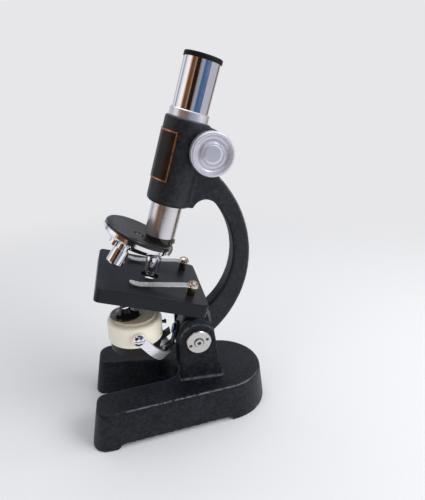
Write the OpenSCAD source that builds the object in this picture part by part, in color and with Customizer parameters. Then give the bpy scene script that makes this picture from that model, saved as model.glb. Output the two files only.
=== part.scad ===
// Student microscope with a revolving turret: a horseshoe base, a curved limb that
// tilts between two ears, a square stage with two clips, a rack-focused tube, three
// objectives and a small lamp that turns over in its fork to bring up a mirror.
// Millimetres. +Z is up, the stage is towards -Y, X = 0 is the plane of symmetry and
// the origin is on the table under the middle of the base.
// Pieces of the limb are drawn in the limb frame: Z along the optical axis, zero at
// the top of the stage, and Y to the rear, as if the microscope stood upright.

/* [Base] */
// Length of the base on the table
base_length = 133.3; // [125:0.1:145]
// Width of the base across its two toes
base_width = 91.6; // [84:0.1:100]
// Height of the base
base_height = 28.6; // [24:0.1:36]
// Radius of the round heel at the top
heel_radius = 32.1; // [30:0.1:35]
// How far the sides lean out from top to bottom
side_draft = 2.3; // [1:0.1:3]
// How far the toes lean out forward from top to bottom
toe_lean = 4.9; // [3:0.1:6]
// How far the heel leans out from top to bottom
heel_lean = 3.5; // [2:0.1:4]
// Corner radius at the outside of a toe
toe_outer_radius = 9; // [7:0.1:11]
// Corner radius at the inside of a toe
toe_inner_radius = 6; // [5:0.1:8]
// Width of a toe at its tip
toe_width = 24.9; // [22:0.1:27]
// Half width of the gap where it ends at the pillar
gap_radius = 12.6; // [11:0.1:14]
// Wall of the hollow casting
base_wall = 4; // [3:0.1:5]
// Thickness of the casting under its top face
base_top = 6; // [4:0.1:8]
// Rounding along the top edge
edge_round = 1.2; // [0.5:0.1:2]
// Length of the feet at the toes
toe_foot = 19; // [14:0.1:24]
// Distance from the heel's centre forward to where the rear foot starts
heel_foot = -3.5; // [-8:0.1:4]
// How far the edge between the feet is raised
foot_height = 3.3; // [2:0.1:5]

/* [Pillar] */
// Height of the tilting pivot above the base's top face
pivot_rise = 31.8; // [29:0.1:38]
// Distance from the heel's centre forward to the tilting pivot
pivot_forward = 18.1; // [16:0.1:20]
// Clear width between the two ears
ear_gap = 23; // [21:0.1:26]
// Thickness of an ear
ear_thickness = 5; // [3.5:0.1:6]
// Radius of an ear's round top
ear_radius = 13; // [11:0.1:14]
// How far the round top's centre is above the pivot
ear_centre_rise = 5.1; // [3:0.1:6]
// How far an ear's sloping rear edge runs back down to the base
ear_heel = 6.2; // [4:0.1:8]
// Height of the web that joins the ears above the base
web_height = 11; // [6:0.1:13]
// Radius of the tilting pin
pin_radius = 4; // [3:0.1:5]
// Radius of the spanner discs on the ears
disc_radius = 9; // [8:0.1:10]
// Thickness of a spanner disc
disc_thickness = 1.9; // [1.2:0.1:2.5]
// Distance from a disc's centre to its spanner holes
spanner_hole_reach = 6.4; // [5.5:0.1:7]
// Radius of a spanner hole
spanner_hole_radius = 1.3; // [0.8:0.1:1.4]
// How far the tilting pin's ends stand proud of the discs
pin_proud = 1.1; // [0.3:0.1:1.5]
// Thickness of a friction washer
washer_thickness = 1.5; // [1:0.1:2]

/* [Limb] */
// Lean of the optical axis to the rear
tilt = 16.56; // [0:0.01:30]
// Distance from the optical axis back to the tilting pivot
axis_to_pivot = 43.3; // [42:0.1:46]
// Height of the stage's top above the tilting pivot along the optical axis
stage_rise = 37.7; // [36:0.1:42]
// Thickness of the curved arm across the microscope
arm_width = 14; // [12:0.1:16]
// Radius of the arm's outer curve
arm_outer_radius = 81.3; // [80:0.1:83]
// Height of the outer curve's centre above the stage
arm_outer_rise = 9.6; // [8:0.1:11]
// Distance from the optical axis back to the outside of the arm
arm_reach = 67.5; // [66:0.1:70]
// Radius of the arm's inner curve
arm_inner_radius = 55; // [54:0.1:56]
// Height of the inner curve's centre above the stage
arm_inner_rise = 16.1; // [15:0.1:17]
// Distance from the optical axis back to the inside of the arm
arm_throat = 54.2; // [53:0.1:55]
// Radius of the small curve where the arm meets the sleeve
throat_radius = 9.2; // [8:0.1:10]
// Radius of the lug on the tilting pin
lug_radius = 12; // [11:0.1:13]
// Distance from the optical axis back to the pad that carries the fork
fork_pad = 29.5; // [29:0.1:31]

/* [Sleeve] */
// Outer radius of the sleeve
sleeve_radius = 14.7; // [14:0.1:15.5]
// Height of the sleeve's lower end above the stage
sleeve_bottom = 53.4; // [50:0.1:56]
// Height of the sleeve's upper end above the stage
sleeve_top = 109.1; // [107:0.1:115]
// Distance from the optical axis to the back of the pinion housing
housing_back = 20; // [20:0.1:23]
// Width of the pinion housing
housing_width = 18; // [16:0.1:20]
// Height of the label plate's lower edge above the stage
label_bottom = 68.4; // [62:0.1:72]
// Height of the label plate
label_height = 32; // [26:0.1:36]
// Half angle that the label plate wraps round the sleeve
label_angle = 67; // [45:1:70]
// Thickness of the label plate
label_thickness = 0.5; // [0.3:0.1:0.8]

/* [Focus] */
// Height of the pinion above the stage
pinion_height = 93.5; // [90:0.1:97]
// Teeth of the pinion
pinion_teeth = 16; // [15:1:17]
// Module of rack and pinion
gear_module = 0.5; // [0.48:0.01:0.52]
// Face width of the pinion
pinion_width = 5; // [3:0.1:5.5]
// Radius of the pinion shaft
shaft_radius = 2; // [1.5:0.1:2.3]
// Wall of a pinion bush
bush_wall = 1.2; // [0.8:0.1:1.6]
// Half width of the bearing boss across the housing
boss_reach = 14; // [13:0.1:15]
// Radius of the bearing boss
boss_radius = 6.5; // [5.5:0.1:7]
// Radius of a focus knob
knob_radius = 13.75; // [12:0.05:16]
// Distance from the middle to a knob's outer face
knob_reach = 24.2; // [23:0.1:27]
// Depth of a knob's rim
knob_depth = 8; // [6:0.1:9]
// Travel of the focus
focus_travel = 22; // [18:0.1:24]

/* [Tube] */
// Outer radius of the body tube
tube_radius = 10.4; // [10:0.1:10.8]
// Wall of the body tube
tube_wall = 1.2; // [0.8:0.1:1.6]
// Height of the body tube's lower end above the stage
tube_bottom = 30.9; // [30:0.1:32]
// Height of the body tube's upper end above the stage
tube_top = 141.5; // [138:0.1:142]
// Radius of the collar
collar_radius = 12.8; // [12.5:0.1:14]
// Height of the collar
collar_height = 5.1; // [4:0.1:7]
// Wall of the draw tube
draw_wall = 1.2; // [0.8:0.1:1.6]
// Length of the draw tube
draw_length = 30.1; // [30:0.1:34]
// Travel of the draw tube
draw_travel = 20; // [10:0.1:22]
// Radius of the eyepiece cap
cap_radius = 12.2; // [12.1:0.1:13.5]
// Thickness of the eyepiece cap's rim
cap_height = 3; // [2:0.1:5]
// Radius of the hole to look through
eye_hole = 4; // [3:0.1:5]
// Length of the barrel that holds the eyepiece lenses
barrel_length = 22; // [18:0.1:26]

/* [Turret] */
// Distance from the optical axis forward to the turret's screw
turret_offset = 13.3; // [12.5:0.1:14]
// Height of the turret's disc above the stage at its screw
turret_height = 30.4; // [29.5:0.1:31]
// Lean of the turret's axis against the optical axis
turret_tilt = 12.4; // [9:0.1:14]
// Radius of the fixed black disc
disc_plate_radius = 23.9; // [23:0.1:25]
// Thickness of the fixed disc at its rim
disc_plate_thickness = 2.4; // [2.2:0.1:2.8]
// Rounding of the fixed disc's upper edge
plate_round = 2; // [0.5:0.1:2.1]
// How far the middle of the fixed disc reaches down inside the dome
plate_step = 3.4; // [2.6:0.1:4]
// How far the middle of the fixed disc lies below its rim
plate_dish = 2.4; // [0:0.1:2.6]
// Depth of the dimple round the turret screw's head
dimple_depth = 1.1; // [0.8:0.1:1.3]
// Length of the plug that holds the body tube, inside the tube
plug_length = 6; // [4:0.1:8]
// Depth of the revolving dome
dome_depth = 10; // [9.5:0.1:10.5]
// Height of the upright band round the dome's edge
dome_band = 2.6; // [1.5:0.1:3]
// Wall of the revolving dome
dome_wall = 1.4; // [1:0.1:1.8]
// Radius of the turret screw
turret_screw_radius = 2; // [1.5:0.1:2.5]
// Radius of the longest objective
objective_radius = 5.2; // [4.8:0.1:5.5]
// Radius of the two shorter objectives
short_objective_radius = 5.6; // [5:0.1:5.8]
// Height of the longest objective's tip above the stage
objective_tip = 1.4; // [1:0.1:4]
// How much shorter each of the other objectives is
objective_step = 2.6; // [1:0.1:3.5]

/* [Stage] */
// Width of the stage
stage_width = 71.8; // [66:0.1:78]
// Distance from the optical axis to the front of the stage
stage_front = 35.8; // [33:0.1:40]
// Distance from the optical axis to the back of the stage
stage_back = 37.7; // [37:0.1:38.5]
// Height of the stage's skirt
stage_skirt = 9.1; // [7:0.1:10]
// Thickness of the stage's plate
stage_plate = 3.4; // [2.5:0.1:4]
// Thickness of the skirt's wall
skirt_wall = 2.2; // [1.5:0.1:2.5]
// Corner radius of the stage
stage_corner = 3.6; // [3:0.1:6]
// Radius of the recess round the hole in the stage
stage_recess = 6.3; // [5.5:0.1:8]
// Depth of that recess
recess_depth = 1.8; // [1:0.1:2.2]
// Radius of the hole itself
stage_hole = 4.3; // [3.5:0.1:5]
// Distance between the two clip posts
clip_spacing = 44; // [40:0.1:50]
// Distance from the optical axis back to the clip posts
clip_setback = 26.4; // [25:0.1:28]
// Length of a clip from its post to its tip
clip_length = 42; // [38:0.1:45]
// Width of a clip
clip_width = 6; // [3:0.1:7]
// Thickness of a clip
clip_thickness = 0.6; // [0.5:0.1:0.8]
// Height of the bush under a clip
clip_rise = 6.2; // [5:0.1:7.5]
// Radius of a clip post
post_radius = 1.7; // [1.2:0.1:2]
// Radius of a clip post's head
post_head_radius = 3.8; // [2.9:0.1:4]

/* [Lamp] */
// Depth of the lamp's pivot below the stage on the optical axis
lamp_drop = 39.9; // [39:0.1:42]
// Radius of the cream drum
drum_radius = 19.6; // [19:0.1:19.8]
// How far forward of the lamp's pivot the drum's centre lies
drum_forward = 1.8; // [0:0.1:2.2]
// Height of the drum's lower edge below the lamp's pivot
drum_below = 7.9; // [7:0.1:8.5]
// Height of the drum's shoulder above the lamp's pivot
drum_above = 7.4; // [7:0.1:8.5]
// Wall of the drum
drum_wall = 1.8; // [1.2:0.1:2.2]
// Radius of the lid
lid_radius = 15.6; // [14.5:0.1:16.5]
// How far the lid stands above the shoulder
lid_rise = 1.8; // [1:0.1:2.5]
// Radius of the black lens cap's foot
lens_cap_radius = 10.9; // [9:0.1:11.4]
// How far forward of the drum's centre the lens cap stands
lens_cap_forward = 6.3; // [4.5:0.1:7]
// Height of the lens cap above the lid
lens_cap_height = 6; // [5:0.1:7]
// Radius of the lens cap's neck
lens_neck_radius = 4.2; // [3.8:0.1:5]
// Radius of the mirror's ring
ring_radius = 18.2; // [17.9:0.1:18.5]
// Depth of the mirror's ring below the drum
ring_depth = 8.8; // [8.4:0.1:9.2]
// Radius of the mirror
mirror_radius = 15; // [13:0.1:15.4]
// Thickness of the mirror
mirror_thickness = 2; // [1.5:0.1:2.5]
// Width of the finger tab on the ring
tab_width = 6; // [4:0.1:8]
// Radius of the battery cell
cell_radius = 6; // [5:0.1:6.2]
// Length of the battery cell
cell_length = 29; // [26:0.1:29.5]

/* [Fork] */
// Thickness of the fork's strip
fork_thickness = 1.6; // [1.2:0.1:2]
// Distance from the lamp's pivot to the middle of the fork's bend
fork_reach = 31.6; // [30.5:0.1:33]
// Width of the strip at its bend
fork_width = 8.2; // [5.8:0.1:9]
// Lean of the fork down from the square to the optical axis
fork_angle = 34; // [32:0.1:37]
// Radius of the pivot screws' shanks
fork_pin_radius = 1.6; // [1.2:0.1:2]
// Radius of the pivot screws' heads
fork_head_radius = 4.2; // [3.5:0.1:4.6]
// Radius of the blued screw's head
blued_head_radius = 4.2; // [3:0.1:4.5]
// Thickness of the bracket that carries the fork
bracket_thickness = 1.6; // [1.2:0.1:1.8]

/* [Fits] */
// Radial clearance where one piece turns or slides in another
running_fit = 0.05; // [0.02:0.01:0.09]
// Gap between moving pieces that only pass each other
free_gap = 0.3; // [0.2:0.05:0.5]

/* [Hidden] */
$fn = 64;

// Long enough to cut right through any piece
through = 200;

enamel = [0.10, 0.11, 0.13];
satin_black = [0.13, 0.13, 0.14];
gloss_black = [0.05, 0.05, 0.06];
chrome = [0.78, 0.79, 0.82];
nickel = [0.70, 0.69, 0.66];
aluminium = [0.75, 0.75, 0.77];
steel = [0.45, 0.46, 0.48];
blued = [0.06, 0.12, 0.35];
brass = [0.72, 0.55, 0.26];
cream = [0.90, 0.87, 0.75];
glass = [0.80, 0.88, 0.90, 0.5];

// Places on the base
heel_y = base_length / 2 - heel_lean - heel_radius;
toe_front = -base_length / 2 + toe_lean;
toe_side = base_width / 2 - side_draft;
pivot_y = heel_y - pivot_forward;
pivot_z = base_height + pivot_rise;
ear_outside = ear_gap / 2 + ear_thickness;
ear_centre_back = -0.9;
ear_front = pivot_y + ear_centre_back - ear_radius;
ear_back = pivot_y + ear_centre_back + ear_radius;
gap_end_y = ear_front - gap_radius - 0.4;
lug_half = ear_gap / 2 - washer_thickness - running_fit;

// Places on the limb
outer_centre = [arm_reach - arm_outer_radius, arm_outer_rise];
inner_centre = [arm_throat - arm_inner_radius, arm_inner_rise];
throat_angle = 54.6;
throat_centre = inner_centre + (arm_inner_radius - throat_radius)
    * [cos(throat_angle), sin(throat_angle)];
pitch_radius = gear_module * pinion_teeth / 2;
tooth_pitch = PI * gear_module;
tooth_top = 0.7 * gear_module;
tooth_root = 1.0 * gear_module;
rack_seat = 1.3;
rack_pitch_line = tube_radius + rack_seat + tooth_root - 0.1;
pinion_setback = rack_pitch_line + pitch_radius;
rack_width = pinion_width - 0.6;
channel_half = pinion_width / 2 + free_gap;
bush_radius = shaft_radius + running_fit + bush_wall;
collar_top = sleeve_top + collar_height;
draw_radius = tube_radius + running_fit + draw_wall;
draw_top = collar_top + draw_length;
barrel_radius = tube_radius - tube_wall - free_gap;

// Places on the turret
plug_radius = tube_radius - tube_wall;
dome_radius = disc_plate_radius + 0.1;
dome_top = -disc_plate_thickness - free_gap;
step_radius = 0.81 * dome_radius;
screw_seat = -plate_dish - dimple_depth;
screw_head_radius = 2.8;
dimple_radius = screw_head_radius + 0.7;
spring_screw_height = tube_bottom - 3.2;
spring_width = 4.4;
click_face = dome_radius * cos(turret_tilt) + dome_top * sin(turret_tilt)
    - turret_offset + free_gap;
spring_thickness = 0.6;
thread_radius = 4;
thread_length = 2.6;
objective_shoulder = turret_height + dome_top - 0.62 * dome_depth
    - turret_offset * sin(turret_tilt) - 3.6;

// Places on the lamp and its fork
bracket_face = fork_pad - bracket_thickness;
fork_inside = drum_radius + 0.5;
fork_outside = fork_inside + fork_thickness;
fork_bend = fork_reach + fork_thickness / 2 - fork_outside;
rivet_radius = 1.3;
lid_seat = drum_above - 1.4;
lid_top = drum_above + lid_rise;
cap_top = lid_top + lens_cap_height;
glass_radius = lens_neck_radius - 1;
drum_inside = drum_radius - drum_wall;
ring_bottom = -drum_below - ring_depth;
ring_lip = 0.8;
mirror_back = ring_bottom + ring_lip + mirror_thickness;
ring_floor = mirror_back + 1.2;
fork_screw_height = 0.9 - lamp_drop;
switch_radius = 1.2;

// Moves its children from the limb frame to their place at the photographed tilt
module in_limb() {
    translate([0, pivot_y, pivot_z])
        rotate([-tilt, 0, 0])
            translate([0, -axis_to_pivot, stage_rise])
                children();
}

// The same for the turret's own frame, whose Z runs up along its screw
module in_turret() {
    in_limb()
        translate([0, -turret_offset, turret_height])
            rotate([-turret_tilt, 0, 0])
                children();
}

// An objective drawn on the optical axis of the limb frame, carried to station 0, 1 or 2
module at_station(number) {
    in_turret()
        rotate([0, 0, 120 * number])
            rotate([turret_tilt, 0, 0])
                translate([0, turret_offset, -turret_height])
                    children();
}

// The lamp's frame: X along its pivot and Z straight up from the table
module in_lamp() {
    in_limb()
        translate([0, 0, -lamp_drop])
            rotate([tilt, 0, 0])
                children();
}

// The drum stands forward of its pivot in the lamp's frame
module in_drum() {
    in_lamp()
        translate([0, -drum_forward, 0])
            children();
}

// A round bar along X between two distances from the middle
module bar_x(radius, from, to) {
    translate([from, 0, 0])
        rotate([0, 90, 0])
            cylinder(r = radius, h = to - from);
}

// A flat outline in Y and Z, given thickness along X
module slab_x(width) {
    translate([-width / 2, 0, 0])
        rotate([90, 0, 90])
            linear_extrude(width)
                children();
}

module both_sides() {
    children();
    mirror([1, 0, 0])
        children();
}

// Points of an arc, from one angle to another
function arc(centre, radius, from, to, steps) =
    [for (i = [0 : steps]) let (a = from + (to - from) * i / steps)
        centre + radius * [cos(a), sin(a)]];

// Angle of the outward normal of the line that touches two circles, where one is left
// and the other right of it by the signed radii r1 and r2
function touch_angle(c1, r1, c2, r2, side) =
    let (d = c2 - c1)
    atan2(d[1], d[0]) + side * acos((r1 - r2) / norm(d));

// Outline of the horseshoe, drawn in from its top outline by the distance inset
function horseshoe(inset) =
    let (
        heel = [0, heel_y],
        outer = [toe_side - toe_outer_radius, toe_front + toe_outer_radius],
        inner = [toe_side - toe_width + toe_inner_radius, toe_front + toe_inner_radius],
        gap = [0, gap_end_y],
        a1 = touch_angle(heel, heel_radius, outer, toe_outer_radius, 1),
        a2 = touch_angle(outer, toe_outer_radius, inner, toe_inner_radius, 1),
        a3 = touch_angle(inner, toe_inner_radius, gap, -gap_radius, 1) - 360,
        right = concat(
            arc(heel, heel_radius - inset, 90, a1, 10),
            arc(outer, toe_outer_radius - inset, a1, a2, 7),
            arc(inner, toe_inner_radius - inset, a2, a3, 6),
            arc(gap, gap_radius + inset, a3 + 180, 90, 7)))
    concat(right, [for (i = [len(right) - 2 : -1 : 1]) [-right[i][0], right[i][1]]]);

// A solid through outlines of equal count, each at its own height
module loft(outlines, heights) {
    count = len(outlines[0]);
    rings = len(outlines);
    points = [for (k = [0 : rings - 1]) for (p = outlines[k]) [p[0], p[1], heights[k]]];
    sides = [for (k = [0 : rings - 2]) for (i = [0 : count - 1])
        let (j = (i + 1) % count)
        [k * count + j, (k + 1) * count + j, (k + 1) * count + i, k * count + i]];
    bottom = [[for (i = [count - 1 : -1 : 0]) i]];
    top = [[for (i = [0 : count - 1]) (rings - 1) * count + i]];
    polyhedron(points, concat(sides, bottom, top), convexity = 6);
}

// The outline drawn in by inset and drawn out along Y by what the two ends lean out more
// than the sides, in proportion to share
function leaned(inset, share) =
    let (
        front = toe_front - side_draft,
        rear = heel_y + heel_radius + side_draft,
        slope = (heel_lean + toe_lean - 2 * side_draft) / (rear - front))
    [for (p = horseshoe(inset))
        [p[0], p[1] + share * (side_draft - toe_lean + slope * (p[1] - front))]];

module base_body() {
    lean = side_draft / base_height;
    loft([leaned(-side_draft, 1), leaned(-lean * edge_round, edge_round / base_height),
        horseshoe(0.3 * edge_round), horseshoe(edge_round)],
        [0, base_height - edge_round, base_height - 0.3 * edge_round, base_height]);
}

module base_hollow() {
    intersection() {
        loft([horseshoe(base_wall - side_draft), horseshoe(base_wall)],
            [-1, base_height - base_top]);
        translate([-base_width / 2, -base_length / 2 + toe_foot + base_wall, -1])
            cube([base_width, base_length, base_height]);
    }
}

module ear_outline() {
    translate([pivot_y + ear_centre_back, pivot_z + ear_centre_rise])
        circle(r = ear_radius);
    polygon([
        [ear_front, base_height - base_top / 2],
        [ear_back + ear_heel, base_height - base_top / 2],
        [ear_back, pivot_z + ear_centre_rise],
        [ear_front, pivot_z + ear_centre_rise]]);
}

module pillar() {
    both_sides()
        translate([ear_gap / 2 + ear_thickness / 2, 0, 0])
            slab_x(ear_thickness)
                ear_outline();
    translate([-ear_gap / 2, ear_front + 4, base_height - base_top / 2])
        cube([ear_gap, ear_back - ear_front - 4, web_height + base_top / 2]);
}

module base_casting() color(enamel) {
    foot_front = -base_length / 2 + toe_foot;
    foot_rear = heel_y - heel_foot;
    difference() {
        union() {
            base_body();
            pillar();
        }
        base_hollow();
        slab_x(through) {
            translate([foot_front, -1])
                square([foot_rear - foot_front, 1]);
            translate([foot_front + foot_height, 0])
                square([foot_rear - foot_front - 2 * foot_height, foot_height]);
            for (y = [foot_front + foot_height, foot_rear - foot_height])
                translate([y, 0])
                    circle(r = foot_height);
        }
        translate([0, pivot_y, pivot_z])
            bar_x(pin_radius + running_fit, -through / 2, through / 2);
    }
}

module pivot_pin() color(nickel) {
    neck = pin_radius - 1.1;
    translate([0, pivot_y, pivot_z])
        difference() {
            union() {
                bar_x(pin_radius, -ear_outside, ear_outside);
                bar_x(neck, -ear_outside - disc_thickness - pin_proud,
                    ear_outside + disc_thickness + pin_proud);
            }
            both_sides()
                bar_x(neck - 1.4, ear_outside + disc_thickness - 1.2, through);
        }
}

module pivot_disc() {
    neck = pin_radius - 1.1;
    translate([0, pivot_y, pivot_z])
        difference() {
            translate([ear_outside, 0, 0])
                rotate([90, 0, 90])
                    rotate_extrude()
                        polygon([[neck, 0], [disc_radius, 0],
                            [disc_radius, disc_thickness - 0.5],
                            [disc_radius - 0.5, disc_thickness],
                            [neck + 0.9, disc_thickness],
                            [neck, disc_thickness - 0.9]]);
            for (turn = [19, 199])
                rotate([turn, 0, 0])
                    translate([0, spanner_hole_reach, 0])
                        bar_x(spanner_hole_radius, ear_outside + disc_thickness - 1.6, through);
        }
}

module pivot_disc_right() color(nickel) pivot_disc();

module pivot_disc_left() color(nickel) mirror([1, 0, 0]) pivot_disc();

module friction_washers() color(brass) {
    translate([0, pivot_y, pivot_z])
        both_sides()
            difference() {
                bar_x(lug_radius - 3, ear_gap / 2 - washer_thickness, ear_gap / 2);
                bar_x(pin_radius + running_fit, 0, through);
            }
}

// The arm and the housing behind the sleeve, seen from the side
module arm_outline() {
    difference() {
        intersection() {
            translate(outer_centre)
                circle(r = arm_outer_radius, $fn = 180);
            translate([0, -stage_rise])
                square([arm_outer_radius, stage_rise + sleeve_top]);
        }
        intersection() {
            translate(inner_centre)
                circle(r = arm_inner_radius, $fn = 180);
            polygon([inner_centre,
                inner_centre + 2 * arm_inner_radius * [cos(throat_angle), sin(throat_angle)],
                inner_centre + 2 * arm_inner_radius * [1, -1.2],
                inner_centre + 2 * arm_inner_radius * [0, -1.2]]);
        }
        translate(throat_centre)
            circle(r = throat_radius);
        translate([-1, -stage_rise - 1])
            square([throat_centre[0] + 1, stage_rise + 1 + throat_centre[1]]);
        translate([-1, -stage_rise - 1])
            square([throat_centre[0] - throat_radius + 2, stage_rise + 1 + sleeve_bottom + 1]);
        translate([-1, -stage_rise - 1])
            square([fork_pad + 1, stage_rise - stage_skirt]);
        translate([housing_back, arm_outer_rise + arm_outer_radius * 0.9])
            square([through, through]);
    }
}

module housing_outline() {
    top = sleeve_top - 1.6;
    bottom = pinion_height - boss_radius - 6;
    translate([0, bottom])
        square([housing_back - 3, top - bottom]);
    translate([0, bottom])
        square([housing_back, top - bottom - 3]);
    translate([housing_back - 3, top - 3])
        circle(r = 3);
}

// The foot of the limb: the lug on the pin and the shelf that carries the stage
module foot_outline() {
    translate([axis_to_pivot, -stage_rise])
        circle(r = lug_radius);
    polygon([
        [fork_pad - 10, -stage_plate],
        [stage_back - skirt_wall - free_gap, -stage_plate],
        [stage_back - skirt_wall - free_gap, -stage_skirt - 0.5],
        [axis_to_pivot + 4, -stage_skirt - 9],
        [axis_to_pivot + lug_radius, -stage_rise],
        [axis_to_pivot, -stage_rise - lug_radius],
        [fork_pad, -stage_rise - lug_radius + 3],
        [fork_pad, -stage_skirt - 12],
        [fork_pad - 10, -stage_skirt - 1]]);
}

module sleeve() {
    rim = 2.4;
    rotate_extrude()
        polygon(concat(
            [[0, sleeve_bottom]],
            arc([sleeve_radius - rim, sleeve_bottom + rim], rim, -90, 0, 6),
            arc([sleeve_radius - 0.8, sleeve_top - 0.8], 0.8, 0, 90, 4),
            [[0, sleeve_top]]));
}

module limb_casting() color(enamel) {
    in_limb()
        difference() {
            union() {
                slab_x(arm_width)
                    arm_outline();
                slab_x(housing_width)
                    housing_outline();
                slab_x(2 * lug_half)
                    foot_outline();
                sleeve();
                translate([0, pinion_setback, pinion_height])
                    bar_x(boss_radius, -boss_reach, boss_reach);
            }
            cylinder(r = tube_radius + running_fit, h = through);
            translate([-channel_half, 0, 0])
                cube([2 * channel_half, rack_pitch_line + tooth_top + free_gap, through]);
            translate([0, pinion_setback, pinion_height]) {
                bar_x(pitch_radius + tooth_top + free_gap, -channel_half, channel_half);
                bar_x(bush_radius, -through, through);
            }
            translate([0, axis_to_pivot, -stage_rise])
                bar_x(pin_radius + running_fit, -through, through);
            translate([0, fork_pad + 8, fork_screw_height])
                rotate([90, 0, 0])
                    cylinder(r = fork_pin_radius, h = 9);
            stage_screw_places()
                translate([0, 0, -through])
                    cylinder(r = post_radius, h = through);
            stage_screw_places()
                translate([0, 0, -stage_plate - 5 - through])
                    cylinder(r = 3.2, h = through);
        }
}

module label_plate() color(gloss_black) {
    in_limb()
        translate([0, 0, label_bottom])
            intersection() {
                difference() {
                    cylinder(r = sleeve_radius + label_thickness, h = label_height, $fn = 128);
                    translate([0, 0, -1])
                        cylinder(r = sleeve_radius, h = label_height + 2, $fn = 128);
                }
                linear_extrude(label_height)
                    polygon([[0, 0],
                        3 * sleeve_radius * [sin(label_angle), -cos(label_angle)],
                        [0, -9 * sleeve_radius],
                        3 * sleeve_radius * [-sin(label_angle), -cos(label_angle)]]);
            }
}

module pinion_bushes() color(brass) {
    in_limb()
        translate([0, pinion_setback, pinion_height])
            both_sides()
                difference() {
                    bar_x(bush_radius, channel_half, boss_reach);
                    bar_x(shaft_radius + running_fit, 0, through);
                }
}

module stage_screw_places() {
    for (x = [-5, 5])
        translate([x, fork_pad - 5, 0])
            children();
}

module clip_places() {
    both_sides()
        translate([clip_spacing / 2, clip_setback, 0])
            children();
}

module stage_outline(inset) {
    radius = stage_corner - inset;
    x = stage_width / 2 - stage_corner;
    polygon(concat(
        arc([x, stage_back - stage_corner], radius, 0, 90, 6),
        arc([-x, stage_back - stage_corner], radius, 90, 180, 6),
        arc([-x, stage_corner - stage_front], radius, 180, 270, 6),
        arc([x, stage_corner - stage_front], radius, 270, 360, 6)));
}

module stage() color(satin_black) {
    in_limb()
        difference() {
            union() {
                translate([0, 0, -stage_skirt])
                    linear_extrude(stage_skirt - 0.6)
                        stage_outline(0);
                translate([0, 0, -0.6])
                    linear_extrude(0.6)
                        stage_outline(0.5);
            }
            translate([0, 0, -stage_skirt - 1])
                linear_extrude(stage_skirt + 1 - stage_plate)
                    stage_outline(skirt_wall);
            translate([0, 0, -through / 2])
                cylinder(r = stage_hole, h = through);
            translate([0, 0, -recess_depth])
                cylinder(r = stage_recess, h = through);
            clip_places()
                translate([0, 0, -through / 2])
                    cylinder(r = post_radius, h = through);
            stage_screw_places()
                translate([0, 0, -through - 0.8])
                    cylinder(r = post_radius, h = through);
        }
}

module stage_screws() color(steel) {
    in_limb()
        stage_screw_places()
            difference() {
                union() {
                    translate([0, 0, -stage_plate - 5])
                        cylinder(r = post_radius, h = stage_plate + 5 - 0.9);
                    translate([0, 0, -stage_plate - 7])
                        cylinder(r = 2.9, h = 2);
                }
                translate([-0.5, -5, -stage_plate - 8])
                    cube([1, 10, 1.9]);
            }
}

module clip_posts() color(chrome) {
    seat = clip_rise + clip_thickness + running_fit;
    dome = 2.2;
    in_limb()
        clip_places()
            difference() {
                union() {
                    translate([0, 0, -stage_plate])
                        cylinder(r = post_radius, h = stage_plate + seat);
                    translate([0, 0, seat])
                        rotate_extrude()
                            polygon([[0, 0], [post_head_radius, 0], [post_head_radius, 1],
                                [0.85 * post_head_radius, 1 + 0.5 * dome],
                                [0.5 * post_head_radius, 1 + 0.88 * dome],
                                [0, 1 + dome]]);
                }
                translate([-0.4, -5, seat + 1 + 0.35 * dome])
                    cube([0.8, 10, 5]);
            }
}

module clip_bushes() color(brass) {
    in_limb()
        clip_places()
            difference() {
                cylinder(r = post_radius + 1, h = clip_rise - running_fit);
                translate([0, 0, -1])
                    cylinder(r = post_radius, h = clip_rise + 1);
            }
}

// A clip drawn round its post: it slopes down to the slide and its toe turns up
module clip() {
    toe = 1.2;
    top = clip_rise;
    reach = clip_length - clip_width / 2;
    spine = [[post_head_radius, top], [-post_head_radius, top], [-0.17 * reach, 0.95 * top],
        [-0.86 * reach, toe + 0.1], [-0.92 * reach, toe], [-0.98 * reach, toe + 0.2],
        [-reach - clip_width, toe + 1.4]];
    difference() {
        intersection() {
            slab_x(2 * post_head_radius)
                polygon(concat(spine,
                    [for (i = [len(spine) - 1 : -1 : 0]) spine[i] + [0, clip_thickness]]));
            linear_extrude(through) {
                circle(r = post_head_radius);
                translate([-clip_width / 2, -reach])
                    square([clip_width, reach]);
                translate([0, -reach])
                    circle(r = clip_width / 2);
            }
        }
        translate([0, 0, -1])
            cylinder(r = post_radius + running_fit, h = through);
    }
}

module clip_right() color(nickel) {
    in_limb()
        translate([clip_spacing / 2, clip_setback, 0])
            clip();
}

module clip_left() color(nickel) {
    in_limb()
        translate([-clip_spacing / 2, clip_setback, 0])
            clip();
}

// The frame of the fork: X along the lamp's pivot and Y to the middle of the bend
module in_fork() {
    in_limb()
        translate([0, 0, -lamp_drop])
            rotate([-fork_angle, 0, 0])
                children();
}

// The fork's strip seen square to its edge: two legs and a half round
module fork_loop() {
    difference() {
        union() {
            translate([-fork_outside, -5])
                square([2 * fork_outside, 5 + fork_bend]);
            translate([0, fork_bend])
                circle(r = fork_outside);
        }
        translate([-fork_inside, -6])
            square([2 * fork_inside, 6 + fork_bend]);
        translate([0, fork_bend])
            circle(r = fork_inside);
    }
}

module fork() color(chrome) {
    eye = 4.1;
    slim = 3.4;
    far = fork_reach + fork_thickness;
    in_fork()
        difference() {
            intersection() {
                translate([0, 0, -fork_width])
                    linear_extrude(2 * fork_width)
                        fork_loop();
                slab_x(through) {
                    circle(r = eye);
                    polygon([[0, slim], [0, -slim], [12, -slim],
                        [far, -fork_width / 2], [far, fork_width / 2], [12, slim]]);
                }
            }
            bar_x(fork_pin_radius + running_fit, -through, through);
            rotate([-90, 0, 0])
                cylinder(r = rivet_radius, h = through);
        }
}

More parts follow.
